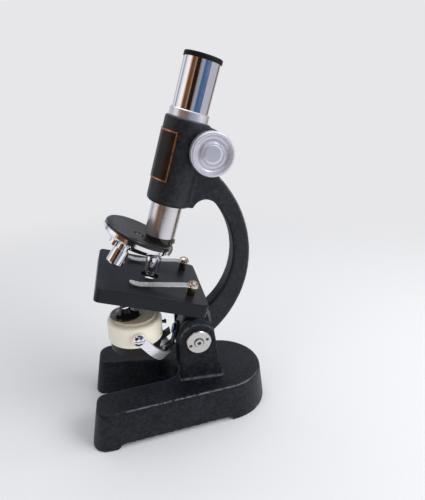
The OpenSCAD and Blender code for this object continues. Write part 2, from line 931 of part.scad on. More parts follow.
// A cranked strip: its upper leg lies on the limb and its lower leg inside the bend
module fork_bracket() color(satin_black) {
    half_width = 3.5;
    crank = -lamp_drop - fork_reach * sin(fork_angle) + 6;
    top = -lamp_drop + 6;
    difference() {
        union() {
            in_fork()
                translate([0, 0, -fork_width / 2 + 0.5])
                    linear_extrude(fork_width + 4.2)
                        intersection() {
                            difference() {
                                translate([0, fork_bend])
                                    circle(r = fork_inside);
                                translate([0, fork_bend])
                                    circle(r = fork_inside - bracket_thickness);
                            }
                            translate([-half_width, fork_bend])
                                square([2 * half_width, fork_outside]);
                        }
            in_limb()
                translate([-half_width, bracket_face, crank])
                    cube([2 * half_width, bracket_thickness, top - crank]);
        }
        in_fork()
            rotate([-90, 0, 0])
                cylinder(r = rivet_radius, h = through);
        in_limb()
            translate([0, through / 2, fork_screw_height])
                rotate([90, 0, 0])
                    cylinder(r = fork_pin_radius, h = through);
    }
}

module fork_rivet() color(steel) {
    inside = fork_bend + fork_inside - bracket_thickness;
    outside = fork_bend + fork_outside;
    in_fork()
        rotate([-90, 0, 0]) {
            translate([0, 0, inside - 0.85])
                cylinder(r1 = rivet_radius, r2 = rivet_radius + 0.7, h = 0.7);
            translate([0, 0, inside - 0.2])
                cylinder(r = rivet_radius, h = outside - inside + 0.3);
            translate([0, 0, outside])
                cylinder(r1 = rivet_radius + 0.8, r2 = rivet_radius, h = 0.7);
        }
}

module fork_screw() color(blued) {
    head = 1.8;
    in_limb()
        translate([0, bracket_face, fork_screw_height])
            rotate([90, 0, 0])
                difference() {
                    union() {
                        translate([0, 0, -bracket_thickness - 7])
                            cylinder(r = fork_pin_radius, h = bracket_thickness + 7);
                        cylinder(r1 = blued_head_radius, r2 = blued_head_radius - 0.5, h = head);
                    }
                    translate([-5, -0.4, head - 0.8])
                        cube([10, 0.8, 2]);
                }
}

module pinion_shaft() color(steel) {
    in_limb()
        translate([0, pinion_setback, pinion_height])
            bar_x(shaft_radius, -knob_reach + 2, knob_reach - 2);
}

module pinion_gear() color(brass) {
    foot = 1.7 * gear_module;
    tip = 0.7 * gear_module;
    root_radius = pitch_radius - tooth_root;
    in_limb()
        translate([0, pinion_setback, pinion_height])
            slab_x(pinion_width)
                difference() {
                    union() {
                        circle(r = root_radius);
                        for (i = [0 : pinion_teeth - 1])
                            rotate(180 + 360 / pinion_teeth * (i + 0.5))
                                polygon([[root_radius - 0.3, -foot / 2],
                                    [pitch_radius + tooth_top, -tip / 2],
                                    [pitch_radius + tooth_top, tip / 2],
                                    [root_radius - 0.3, foot / 2]]);
                    }
                    circle(r = shaft_radius);
                }
}

// A dished knob with a raised centre, turned about X
module knob() {
    inside = boss_reach + 0.4;
    face = knob_reach;
    back = face - knob_depth;
    hub = 6.5;
    groove = knob_radius - 4.75;
    in_limb()
        translate([0, pinion_setback, pinion_height])
            rotate([90, 0, 90])
                rotate_extrude()
                    polygon(concat(
                        [[shaft_radius, inside], [hub, inside], [hub, back + 1.2],
                            [knob_radius - 1.5, back + 0.4]],
                        arc([knob_radius - 1.3, back + 1.3], 1.3, -60, 0, 4),
                        arc([knob_radius - 1.3, face - 1.3], 1.3, 0, 120, 8),
                        arc([groove, face - 0.6], 2.4, -12, -90, 7),
                        arc([groove, face + 0.5], 3.5, -100, -150, 5),
                        [[groove - 3.7, face - 0.92], [groove - 4.4, face - 0.8],
                            [0, face - 0.8], [0, face - 2], [shaft_radius, face - 2]]));
}

module knob_right() color(aluminium) knob();

module knob_left() color(aluminium) mirror([1, 0, 0]) knob();

module body_tube() color(chrome) {
    in_limb()
        difference() {
            translate([0, 0, tube_bottom])
                cylinder(r = tube_radius, h = tube_top - tube_bottom);
            cylinder(r = tube_radius - tube_wall, h = through);
            for (z = rack_screw_heights())
                translate([0, 0, z])
                    rotate([-90, 0, 0])
                        cylinder(r = 0.8, h = through);
        }
}

function rack_first() = -ceil((focus_travel + 7) / tooth_pitch);
function rack_last() = min(ceil(7 / tooth_pitch),
    floor((sleeve_top - free_gap - pinion_height) / tooth_pitch - 2.5));
function rack_bottom() = pinion_height + (rack_first() - 2.5) * tooth_pitch;
function rack_top() = pinion_height + (rack_last() + 2.5) * tooth_pitch;
function rack_screw_heights() = [rack_bottom() + tooth_pitch, rack_top() - tooth_pitch];

module rack() color(brass) {
    foot = 1.7 * gear_module;
    tip = 0.7 * gear_module;
    root_line = rack_pitch_line - tooth_root;
    in_limb()
        difference() {
            slab_x(rack_width) {
                translate([0, rack_bottom()])
                    square([root_line, rack_top() - rack_bottom()]);
                for (i = [rack_first() : rack_last()])
                    translate([root_line, pinion_height + i * tooth_pitch])
                        polygon([[-0.2, -foot / 2], [tooth_root + tooth_top, -tip / 2],
                            [tooth_root + tooth_top, tip / 2], [-0.2, foot / 2]]);
            }
            cylinder(r = tube_radius, h = through);
            for (z = rack_screw_heights())
                translate([0, 0, z])
                    rotate([-90, 0, 0])
                        cylinder(r = 0.8, h = through);
        }
}

module rack_screws() color(steel) {
    root_line = rack_pitch_line - tooth_root;
    in_limb()
        for (z = rack_screw_heights())
            translate([0, tube_radius - tube_wall + 0.1, z])
                rotate([-90, 0, 0])
                    cylinder(r = 0.8, h = root_line - tube_radius + tube_wall - 0.2);
}

module collar() color(aluminium) {
    in_limb()
        translate([0, 0, sleeve_top])
            rotate_extrude()
                polygon([[tube_radius, 0], [collar_radius, 0],
                    [collar_radius, collar_height - 0.5],
                    [collar_radius - 0.5, collar_height], [tube_radius, collar_height]]);
}

module turret_plate() color(gloss_black) {
    light = 6.6;
    rim = disc_plate_radius;
    thick = disc_plate_thickness;
    difference() {
        union() {
            in_turret()
                translate([0, 0, -thick])
                    rotate_extrude()
                        polygon(concat(
                            [[0, -plate_step], [step_radius, -plate_step],
                                [step_radius, 0], [rim, 0]],
                            arc([rim - plate_round, thick - plate_round], plate_round,
                                0, 90, 6),
                            [[0.84 * rim, thick],
                                [0.6 * rim, thick - 0.55 * plate_dish],
                                [0.38 * rim, thick - 0.9 * plate_dish],
                                [0.22 * rim, thick - plate_dish],
                                [dimple_radius, thick - plate_dish],
                                [dimple_radius, thick - plate_dish - dimple_depth],
                                [0, thick - plate_dish - dimple_depth]]));
            difference() {
                in_limb()
                    cylinder(r = plug_radius, h = tube_bottom + plug_length);
                in_turret()
                    translate([-through / 2, -through / 2, -thick - through])
                        cube([through, through, through]);
            }
        }
        in_limb() {
            cylinder(r = light, h = through);
            translate([0, through, spring_screw_height])
                rotate([90, 0, 0])
                    cylinder(r = 0.8, h = through);
        }
        in_turret()
            translate([0, 0, -through / 2])
                cylinder(r = turret_screw_radius, h = through);
    }
}

module turret_screw() color(brass) {
    in_turret()
        difference() {
            union() {
                translate([0, 0, screw_seat])
                    cylinder(r1 = screw_head_radius, r2 = screw_head_radius - 0.4, h = 1);
                translate([0, 0, dome_top - dome_depth - 2])
                    cylinder(r = turret_screw_radius,
                        h = dome_depth - dome_top + 2.4 + screw_seat);
            }
            translate([-5, -0.4, screw_seat + 0.5])
                cube([10, 0.8, 2]);
        }
}

module turret_nut() color(brass) {
    in_turret()
        translate([0, 0, dome_top - dome_depth - running_fit - 1.8])
            difference() {
                cylinder(r = 3.6, h = 1.8, $fn = 6);
                translate([0, 0, -1])
                    cylinder(r = turret_screw_radius, h = 4);
            }
}

// A leaf spring that bows out over the dome's rim and clicks into it
module turret_spring() color(steel) {
    thick = spring_thickness;
    spine = [[plug_radius, tube_bottom - 0.3], [plug_radius, tube_bottom - 5.4],
        [click_face + 0.2, tube_bottom - 7.2], [click_face + 0.5, tube_bottom - 9.4],
        [click_face, tube_bottom - 11.8], [click_face - 1.2, tube_bottom - 14]];
    in_limb()
        difference() {
            slab_x(spring_width)
                polygon(concat(spine,
                    [for (i = [len(spine) - 1 : -1 : 0]) spine[i] + [thick, 0]]));
            cylinder(r = plug_radius, h = through);
            translate([0, through / 2, spring_screw_height])
                rotate([90, 0, 0])
                    cylinder(r = 0.8, h = through);
        }
}

module spring_screw() color(brass) {
    head = plug_radius + spring_thickness;
    in_limb()
        translate([0, 0, spring_screw_height])
            rotate([-90, 0, 0]) {
                translate([0, 0, head])
                    cylinder(r1 = 2, r2 = 1.5, h = 1.3);
                translate([0, 0, plug_radius - 1.8])
                    cylinder(r = 0.8, h = spring_thickness + 2);
            }
}

module turret_dome() color(chrome) {
    r = dome_radius;
    d = dome_depth;
    w = dome_wall;
    hub = 4.5;
    outside = [[r, 0], [r, -dome_band], [r - 0.9, -dome_band - 0.7], [0.89 * r, -0.46 * d],
        [0.76 * r, -0.68 * d], [0.6 * r, -0.84 * d], [0.38 * r, -0.95 * d],
        [hub, -d]];
    inside = [[hub, -d + w], [0.38 * r, -0.95 * d + w], [0.57 * r, -0.84 * d + w],
        [0.71 * r, -0.68 * d + w], [0.82 * r, -0.46 * d + w],
        [r - 1.2 - w, 0]];
    difference() {
        in_turret()
            translate([0, 0, dome_top])
                difference() {
                    rotate_extrude()
                        polygon(concat([[0, -d], [0, -plate_step], [hub, -plate_step]],
                            inside, outside));
                    translate([0, 0, -through / 2])
                        cylinder(r = turret_screw_radius + running_fit, h = through);
                }
        for (number = [0 : 2])
            at_station(number)
                cylinder(r = thread_radius, h = through);
    }
}

// An objective on the optical axis, from its thread down to its tip
module objective(tip, radius, nose) {
    shoulder = objective_shoulder;
    difference() {
        rotate_extrude()
            polygon([[0, tip], [3.4, tip], [3.9, tip + 0.5], [3.9, tip + nose],
                [radius - 0.4, tip + nose], [radius, tip + nose + 0.4],
                [radius, shoulder - 0.4], [radius - 0.4, shoulder],
                [thread_radius, shoulder], [thread_radius, shoulder + thread_length],
                [0, shoulder + thread_length]]);
        translate([0, 0, tip + 1.6])
            cylinder(r = 2.9, h = through);
        translate([0, 0, tip - 1])
            cylinder(r = 1.9, h = through);
    }
}

module objective_high() color(chrome)
    at_station(0) objective(objective_tip, objective_radius, 2.6);

module objective_mid() color(chrome)
    at_station(2) objective(objective_tip + objective_step, short_objective_radius, 0.7);

module objective_low() color(chrome)
    at_station(1) objective(objective_tip + 2 * objective_step, short_objective_radius, 0.7);

module objective_lenses() color(glass) {
    for (number = [0 : 2])
        at_station([0, 2, 1][number])
            translate([0, 0, objective_tip + number * objective_step + 1.6])
                cylinder(r = 2.9, h = 1.4);
}

module draw_tube() color(chrome) {
    in_limb()
        translate([0, 0, collar_top])
            difference() {
                cylinder(r = draw_radius, h = draw_length, $fn = 96);
                translate([0, 0, -1])
                    cylinder(r = tube_radius + running_fit, h = draw_length + 2);
            }
}

module eyepiece_cap() color(gloss_black) {
    edge = 0.8;
    in_limb()
        translate([0, 0, draw_top])
            rotate_extrude()
                polygon(concat(
                    [[eye_hole, 0], [cap_radius, 0]],
                    arc([cap_radius - edge, cap_height - edge], edge, 0, 90, 4),
                    [[cap_radius - 2, cap_height], [eye_hole + 3, cap_height - 1.1],
                        [eye_hole, cap_height - 1.4]]));
}

module eyepiece_barrel() color(satin_black) {
    in_limb()
        translate([0, 0, draw_top - barrel_length])
            rotate_extrude()
                polygon([[barrel_radius - 1.2, 0], [barrel_radius, 0],
                    [barrel_radius, barrel_length - 2],
                    [tube_radius + running_fit, barrel_length - 1.8],
                    [tube_radius + running_fit, barrel_length],
                    [eye_hole + 1, barrel_length],
                    [eye_hole + 1, barrel_length - 1], [barrel_radius - 2.2,
                    barrel_length - 1], [barrel_radius - 2.2, barrel_length - 4],
                    [barrel_radius - 1.2, barrel_length - 4]]);
}

module lens(radius, thickness, crown) {
    rotate_extrude()
        polygon(concat([[0, 0], [radius, 0], [radius, thickness]],
            [for (i = [1 : 6]) let (x = radius * (1 - i / 6))
                [x, thickness + crown * (1 - pow(x / radius, 2))]]));
}

module eye_lens() color(glass) {
    in_limb()
        translate([0, 0, draw_top - 3.6])
            lens(barrel_radius - 2.2, 1.2, 1.2);
}

module field_stop() color(satin_black) {
    in_limb()
        translate([0, 0, draw_top - barrel_length / 2])
            difference() {
                cylinder(r = barrel_radius - 1.2, h = 1);
                translate([0, 0, -1])
                    cylinder(r = 5.5, h = 3);
            }
}

module field_lens() color(glass) {
    in_limb()
        translate([0, 0, draw_top - barrel_length + 0.5])
            lens(barrel_radius - 1.2, 1.2, 1.6);
}

module lamp_drum() color(cream) {
    shoulder = 2.6;
    ledge = 1.2;
    r = drum_radius;
    in_drum()
        difference() {
            rotate_extrude()
                polygon(concat(
                    [[drum_inside, -drum_below], [r, -drum_below]],
                    arc([r - shoulder, drum_above - shoulder], shoulder, 0, 90, 6),
                    [[lid_radius, drum_above], [lid_radius, lid_seat],
                        [lid_radius - ledge, lid_seat],
                        [lid_radius - ledge, lid_seat - drum_wall],
                        [r - shoulder - drum_wall / 2, lid_seat - drum_wall],
                        [drum_inside, drum_above - 3.6 - drum_wall]]));
            translate([0, drum_forward, 0])
                bar_x(fork_pin_radius, -through, through);
            rotate([-90, 0, 0])
                cylinder(r = switch_radius + running_fit, h = through);
        }
}

module lamp_lid() color(cream) {
    edge = 0.6;
    in_drum()
        difference() {
            rotate_extrude()
                polygon(concat(
                    [[0, lid_seat], [lid_radius - 0.1, lid_seat]],
                    arc([lid_radius - 0.1 - edge, lid_top - edge], edge, 0, 90, 5),
                    [[0, lid_top]]));
            translate([0, -lens_cap_forward, -through / 2])
                cylinder(r = lens_neck_radius, h = through);
        }
}

module lens_cap() color(gloss_black) {
    in_drum()
        translate([0, -lens_cap_forward, lid_top])
            rotate_extrude()
                polygon([[glass_radius, 0], [lens_cap_radius, 0],
                    [lens_cap_radius, 0.8], [lens_cap_radius - 0.6, 1.5],
                    [lens_neck_radius + 2.4, 2.4], [lens_neck_radius + 0.7, 3.4],
                    [lens_neck_radius, lens_cap_height - 0.5],
                    [lens_neck_radius - 0.4, lens_cap_height],
                    [glass_radius, lens_cap_height]]);
}

module lamp_lens() color(glass) {
    in_drum()
        translate([0, -lens_cap_forward, cap_top - 1.5])
            lens(glass_radius, 1.2, 1.4);
}

module bulb() color(glass) {
    in_drum()
        translate([0, -lens_cap_forward, lid_top - 1.5])
            rotate_extrude()
                polygon(concat([[0, 0], [2.2, 0]],
                    [for (a = [-40 : 20 : 80]) [0, 2.4] + 2.6 * [cos(a), sin(a)]],
                    [[0, 5]]));
}

// A socket that hangs under the lid by its flange
module bulb_socket() color(brass) {
    flange = 0.8;
    bottom = drum_above - 6;
    in_drum()
        translate([0, -lens_cap_forward, 0]) {
            translate([0, 0, bottom])
                cylinder(r = 2.9, h = lid_top - 1.5 - bottom);
            translate([0, 0, lid_seat - flange])
                cylinder(r = 6.5, h = flange);
        }
}

module battery_cell() color(steel) {
    in_drum()
        translate([0, 0, ring_floor + cell_radius]) {
            bar_x(cell_radius, -cell_length / 2, cell_length / 2 - 1.4);
            bar_x(cell_radius / 3, -cell_length / 2, cell_length / 2);
        }
}

module battery_contacts() color(brass) {
    in_drum()
        both_sides()
            translate([cell_length / 2, -3, ring_floor])
                cube([0.4, 6, cell_radius + 3]);
}

// The ring behind the mirror closes the drum, and a finger tab stands out at its rear
module mirror_ring() color(satin_black) {
    top = -drum_below;
    wall = 1.2;
    in_drum() {
        rotate_extrude()
            polygon([[0, ring_floor], [drum_inside - wall, ring_floor],
                [drum_inside - wall, top + 1], [drum_inside, top + 1], [drum_inside, top],
                [ring_radius + 0.6, top], [ring_radius + 0.3, top - 1],
                [ring_radius, ring_bottom + 1.6], [ring_radius - 1.6, ring_bottom],
                [mirror_radius - 0.6, ring_bottom],
                [mirror_radius - 0.6, ring_bottom + ring_lip],
                [mirror_radius, ring_bottom + ring_lip],
                [mirror_radius, mirror_back], [0, mirror_back]]);
        slab_x(tab_width)
            polygon([[ring_radius - 0.8, ring_bottom + 1.8],
                [ring_radius + 7.2, ring_bottom + 7.4],
                [ring_radius + 6.6, ring_bottom + 10],
                [ring_radius - 0.8, ring_bottom + 5.2]]);
    }
}

module mirror_glass() color(chrome) {
    in_drum()
        translate([0, 0, ring_bottom + ring_lip])
            cylinder(r = mirror_radius, h = mirror_thickness);
}

module fork_pivots() color(chrome) {
    seat = fork_outside + running_fit;
    in_lamp()
        both_sides()
            difference() {
                union() {
                    bar_x(fork_pin_radius, drum_inside, seat);
                    translate([seat, 0, 0])
                        rotate([90, 0, 90])
                            rotate_extrude()
                                polygon([[0, 0], [fork_head_radius, 0],
                                    [fork_head_radius, 1.1],
                                    [0.84 * fork_head_radius, 1.9],
                                    [0.45 * fork_head_radius, 2.6], [0, 2.8]]);
                }
                translate([seat + 1.9, -5, -0.4])
                    cube([5, 10, 0.8]);
            }
}

module lamp_switch() color(gloss_black) {
    out = drum_radius + 1.6;
    in_drum()
        rotate([-90, 0, 0]) {
            translate([0, 0, drum_inside - 2])
                cylinder(r = switch_radius, h = out - drum_inside + 2);
            translate([0, 0, out])
                cylinder(r1 = 1.5, r2 = 1.9, h = 0.7);
            translate([0, 0, out + 0.7])
                cylinder(r1 = 1.9, r2 = 1.1, h = 0.9);
            translate([0, 0, drum_inside - 3])
                cylinder(r = switch_radius + 0.8, h = 1.2);
        }
}

base_casting();
pivot_pin();
pivot_disc_left();
pivot_disc_right();
friction_washers();
limb_casting();
label_plate();
pinion_bushes();
stage();
stage_screws();
clip_posts();
clip_bushes();
clip_left();
clip_right();
fork();
fork_bracket();
fork_rivet();
fork_screw();
pinion_shaft();
pinion_gear();
knob_left();
knob_right();
body_tube();
rack();
rack_screws();
collar();
turret_plate();
turret_screw();
turret_nut();
turret_spring();
spring_screw();
turret_dome();
objective_high();
objective_mid();
objective_low();
objective_lenses();
draw_tube();
eyepiece_cap();
eyepiece_barrel();
eye_lens();
field_stop();
field_lens();
lamp_drum();
lamp_lid();
lens_cap();
lamp_lens();
bulb();
bulb_socket();
battery_cell();
battery_contacts();
mirror_ring();
mirror_glass();
fork_pivots();
lamp_switch();
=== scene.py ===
# %% [markdown]
# # A student microscope with a revolving turret
#
# This notebook dresses a CAD model. The CAD gives every piece its size, its place and
# its joint; Blender gives it its looks. We load the CAD first, then set up a camera and
# a small studio, then write one recipe for each finish on the real microscope, and at
# the end we round the corners of the two castings.

# %% Load the CAD model as a fixed frame
import math

import bmesh
import bpy
from mathutils import Matrix, Vector


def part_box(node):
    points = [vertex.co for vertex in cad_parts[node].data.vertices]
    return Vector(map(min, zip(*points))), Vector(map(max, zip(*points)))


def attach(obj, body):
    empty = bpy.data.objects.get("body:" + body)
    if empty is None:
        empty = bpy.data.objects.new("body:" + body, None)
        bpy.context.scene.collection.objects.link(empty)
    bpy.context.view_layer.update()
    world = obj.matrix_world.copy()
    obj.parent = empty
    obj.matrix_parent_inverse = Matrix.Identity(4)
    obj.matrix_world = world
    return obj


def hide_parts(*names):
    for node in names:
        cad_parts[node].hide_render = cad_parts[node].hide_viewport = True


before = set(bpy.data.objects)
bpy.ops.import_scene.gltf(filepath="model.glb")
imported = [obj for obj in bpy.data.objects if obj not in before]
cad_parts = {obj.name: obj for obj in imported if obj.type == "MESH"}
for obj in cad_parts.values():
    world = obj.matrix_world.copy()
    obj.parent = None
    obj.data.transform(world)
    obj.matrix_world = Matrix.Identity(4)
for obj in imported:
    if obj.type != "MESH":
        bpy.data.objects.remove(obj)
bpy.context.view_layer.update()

mm = 0.001

# %% [markdown]
# ## Where things are on the instrument
#
# Everything on the tilting limb is drawn along the optical axis, which leans back. A
# pattern that runs round the tube, or round the turret's disc, needs that leaning frame,
# so we write down its origin and its lean once. We could read them off the CAD boxes,
# but a box only tells how far a piece reaches, not how it is turned, so the few values
# of the drawing are repeated here. The print puts each origin beside the middle of a
# box: the two should lie within five millimetres of each other.

# %% The leaning frames of the limb and of the turret
limb_degrees, turret_degrees = 16.56, 12.4
limb_lean = math.radians(limb_degrees)
turret_lean = math.radians(limb_degrees + turret_degrees)
limb_turn, turret_turn = (-limb_lean, 0, 0), (-turret_lean, 0, 0)
stage_centre = Vector((0, -17.81, 108.88)) * mm
turret_centre = Vector((0, -21.89, 141.81)) * mm


def middle(node):
    """The middle of a CAD node's box."""
    low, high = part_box(node)
    return (Vector(low) + Vector(high)) / 2


for node, origin in (("stage", stage_centre), ("turret_plate", turret_centre)):
    print(node, "frame in mm:", [round(v / mm, 1) for v in origin],
          "middle of its box:", [round(v / mm, 1) for v in middle(node)])

# %% [markdown]
# ## The camera
#
# The photograph was taken from the side, a little from above, and from about 35 cm
# away, so near things look larger. The camera could be placed by trial and error, but
# the corners of the stage and of the base fix it: the values below come from fitting
# them. A rotation matrix whose columns are right, up and backwards turns the camera
# without any guesswork about Euler angles.

# %% Place the camera
view_azimuth, view_fall, view_roll = (math.radians(a) for a in (78.82, 21.04, -0.92))
forward = Vector((-math.sin(view_azimuth) * math.cos(view_fall),
                  math.cos(view_azimuth) * math.cos(view_fall),
                  -math.sin(view_fall)))
level_right = Vector((math.cos(view_azimuth), math.sin(view_azimuth), 0))
level_up = level_right.cross(forward)
right = math.cos(view_roll) * level_right + math.sin(view_roll) * level_up
up = math.cos(view_roll) * level_up - math.sin(view_roll) * level_right


def put(name, data):
    """A new object in the scene that shows the data."""
    made = bpy.data.objects.new(name, data)
    bpy.context.scene.collection.objects.link(made)
    return made


camera = put("camera", bpy.data.cameras.new("camera"))
eye = Vector((281.8, -28.2, 234.0)) * mm
camera.data.lens, camera.data.sensor_width = 31.16, 36
camera.data.clip_start, camera.data.clip_end = 0.02, 20
camera.matrix_world = Matrix.Translation(eye) @ Matrix(
    (right, up, -forward)).transposed().to_4x4()
bpy.context.scene.camera = camera
print("camera looks along", [round(v, 3) for v in forward])

# %% [markdown]
# ## Sums with sockets
#
# A material is a net of nodes. Wiring it by hand takes three lines for every sum, so a
# small class wraps a socket and lets Python's own signs add the Math nodes: `1 - mask`
# becomes a Subtract node. Colours and vectors must not pass through a Math node, which
# would turn them grey, so they have methods of their own.

# %% A socket that can be added, multiplied and mixed
class Wire:
    """One output socket of a material's node tree."""

    def __init__(self, finish, socket):
        self.finish, self.socket = finish, socket

    def sum(self, operation, *values):
        return self.finish.node("ShaderNodeMath", {"operation": operation},
                                dict(enumerate(values)))

    def __add__(self, other):
        return self.sum("ADD", self, other)

    def __sub__(self, other):
        return self.sum("SUBTRACT", self, other)

    def __rsub__(self, other):
        return self.sum("SUBTRACT", other, self)

    def __mul__(self, other):
        return self.sum("MULTIPLY", self, other)

    def __neg__(self):
        return self.sum("MULTIPLY", self, -1)

    def __abs__(self):
        return self.sum("ABSOLUTE", self)

    __radd__, __rmul__ = __add__, __mul__

    def least(self, other):
        """The smaller of this value and another."""
        return self.sum("MINIMUM", self, other)

    def angle(self, across):
        """The angle, in radians, of a point that is this far up and that far across."""
        return self.sum("ARCTAN2", self, across)

    def step(self, start, end):
        """0 below start, 1 above end, with a soft rise between them."""
        return self.finish.node("ShaderNodeMapRange",
                                {"interpolation_type": "SMOOTHSTEP"},
                                {"Value": self, "From Min": start, "From Max": end})

    def band(self, start, end, soft):
        """1 between start and end, fading out over soft on both sides."""
        return self.step(start - soft, start) * (1 - self.step(end, end + soft))


print("what a wire can do besides signs:", [n for n in vars(Wire) if n[0] != "_"])

# %% [markdown]
# ## A finish under construction
#
# `Finish` holds one material. Its `node` method makes any node: first the type, then
# the settings, because they change which sockets there are, then the sockets' values or
# links. On top of it sit the few patterns that machine-made surfaces need: noise of a
# given grain size in metres, a place in a leaning frame, and the polar coordinates of a
# piece that was turned on a lathe. A world is a net of nodes too, so it can be made the
# same way.

# %% The finish class
class Finish:
    """One material, or the world, with its nodes and the patterns used here."""

    def __init__(self, name, world=False):
        self.material = (bpy.data.worlds if world else bpy.data.materials).new(name)
        self.material.use_nodes = True
        self.tree = self.material.node_tree
        self.tree.nodes.clear()

    def node(self, kind, settings=None, sockets=None, output=None):
        """Any node: its settings first, then the values or links of its sockets."""
        made = self.tree.nodes.new(kind)
        for setting, value in (settings or {}).items():
            setattr(made, setting, value)
        for key, value in (sockets or {}).items():
            target = made.inputs[key] if isinstance(key, int) else next(
                s for s in made.inputs if s.name == key and s.enabled)
            if isinstance(value, Wire):
                self.tree.links.new(value.socket, target)
            elif isinstance(value, (tuple, list, Vector)) and target.type == "RGBA":
                target.default_value = (*value[:3], 1)
            else:
                target.default_value = value
        outputs = [s for s in made.outputs if s.enabled]
        if output is not None:
            outputs = [s for s in outputs if s.name == output]
        return Wire(self, outputs[0])

    def place(self, origin=(0, 0, 0), turn=(0, 0, 0)):
        """Object coordinates, as seen from a frame of that origin and turn."""
        where = self.node("ShaderNodeTexCoord", output="Object")
        return self.node("ShaderNodeMapping", {"vector_type": "TEXTURE"},
                         {"Vector": where, "Location": origin, "Rotation": turn})

    def parts(self, vector):
        """The x, y and z of a vector."""
        first = self.node("ShaderNodeSeparateXYZ", sockets={"Vector": vector})
        return [Wire(self, s) for s in first.socket.node.outputs]

    def facing(self):
        """The x, y and z of the surface's normal, in the object's own frame."""
        return self.parts(self.node("ShaderNodeTexCoord", output="Normal"))

    def join(self, x, y, z):
        """A vector from its three parts."""
        return self.node("ShaderNodeCombineXYZ", sockets={"X": x, "Y": y, "Z": z})

    def length(self, vector):
        """How long a vector is."""
        return self.node("ShaderNodeVectorMath", {"operation": "LENGTH"}, {0: vector},
                         output="Value")

    def lathe(self, origin, turn):
        """Radius, angle and height of a piece turned about the frame's Z axis."""
        x, y, z = self.parts(self.place(origin, turn))
        return self.length(self.join(x, y, 0.0)), y.angle(x), z

    def rays(self, *kinds):
        """1 for light rays of these kinds, such as Camera, and 0 for all others."""
        path = self.node("ShaderNodeLightPath").socket.node.outputs
        return sum(Wire(self, path["Is %s Ray" % kind]) for kind in kinds).least(1.0)

    def noise(self, where, grain, detail=2.0, roughness=0.5):
        """Noise between 0 and 1 whose blotches are about one grain across."""
        return self.node("ShaderNodeTexNoise", {"noise_dimensions": "3D"},
                         {"Vector": where, "Scale": 0.5 / grain, "Detail": detail,
                          "Roughness": roughness})

    def cells(self, where, grain):
        """Distance to the nearest of many scattered points, in parts of a grain."""
        return self.node("ShaderNodeTexVoronoi",
                         {"voronoi_dimensions": "3D", "feature": "F1"},
                         {"Vector": where, "Scale": 1 / grain}, output="Distance")

    def mix(self, first, second, factor):
        """A colour between two colours."""
        return self.node("ShaderNodeMix", {"data_type": "RGBA"},
                         {"Factor": factor, "A": first, "B": second}, output="Result")

    def lerp(self, first, second, factor):
        """A number between two numbers."""
        return first + (second - first) * factor

    def bump(self, height, depth, normal=None):
        """A normal that follows height, which is 0 to 1 over depth metres."""
        sockets = {"Height": height, "Distance": depth, "Strength": 1.0}
        if normal is not None:
            sockets["Normal"] = normal
        return self.node("ShaderNodeBump", sockets=sockets)

    def soft_edge(self, radius):
        """The normal as if every sharp edge were rounded to that radius."""
        return self.node("ShaderNodeBevel", {"samples": 8}, {"Radius": radius})

    def surface(self, **sockets):
        """The Principled shader and the output. Names are the sockets' own."""
        named = {key.replace("_", " "): value for key, value in sockets.items()}
        return self.close(self.node("ShaderNodeBsdfPrincipled", sockets=named))

    def close(self, shader, kind="ShaderNodeOutputMaterial"):
        """Joins the shader to the output node and gives back the material."""
        output = self.tree.nodes.new(kind)
        self.tree.links.new(shader.socket, output.inputs["Surface"])
        return self.material


print("recipes a finish knows:", [n for n in vars(Finish) if not n.startswith("_")])

# %% [markdown]
# ## The studio
#
# The object is judged by its own colours, so the room around it is pale and plain. A
# floor that ended at a horizon would cut through the picture; a curved paper backdrop
# would hide the object from the back. Here the floor is one wide disc whose far part
# turns, for the camera and for reflections, into exactly the world's own colour, so
# that no edge shows from any side, while near the object it stays a real floor that
# takes a shadow.

# %% A pale world
room = (0.80, 0.80, 0.82)
sky_tint, sky_strength = (0.95, 0.97, 1.0), 0.42
studio = Finish("studio", world=True)
bpy.context.scene.world = studio.material
bpy.context.scene.view_settings.view_transform = "Standard"
ambient = studio.node("ShaderNodeBackground",
                      sockets={"Color": sky_tint, "Strength": sky_strength})
shown = studio.node("ShaderNodeBackground", sockets={"Color": room, "Strength": 1.0})
seen = studio.rays("Camera", "Glossy", "Transmission")
studio.close(studio.node("ShaderNodeMixShader", sockets={0: seen, 1: ambient, 2: shown}),
             "ShaderNodeOutputWorld")
print("world nodes:", len(studio.tree.nodes))


# %% The floor
def put_shape(name, shape, paint):
    """A finished bmesh as a new object with one material."""
    mesh = bpy.data.meshes.new(name)
    shape.to_mesh(mesh)
    shape.free()
    mesh.materials.append(paint)
    return put(name, mesh)


floor_radius, blend_start, blend_end = 6.0, 0.20, 0.62
paper = Finish("floor paper")
near = paper.node("ShaderNodeBsdfDiffuse", sockets={"Color": room})
far = paper.node("ShaderNodeEmission", sockets={"Color": room})
blend = paper.length(paper.place()).step(blend_start, blend_end)
blend = blend * paper.rays("Camera", "Glossy")
paper.close(paper.node("ShaderNodeMixShader", sockets={0: blend, 1: near, 2: far}))

disc = bmesh.new()
bmesh.ops.create_circle(disc, cap_ends=True, segments=96, radius=floor_radius)
floor = put_shape("floor", disc, paper.material)
print("floor faces:", len(floor.data.polygons), "corners:", len(floor.data.vertices))

# %% [markdown]
# ## Soft light and screens
#
# Polished metal has no colour of its own: what makes it read as chrome is a bright
# window next to something dark. Photographers put screens beside the lamps for this.
# The lamps are wide area lights, so shadows have soft edges. A screen is one line, over
# the floor and up, that a spin sweeps round the instrument, because a leaning tube
# shows the wall on one side and the floor on the other. Only reflections see the
# screens, and they throw no shadow.

# %% Lamps
lamps_aim = Vector((0, 0, 0.12))


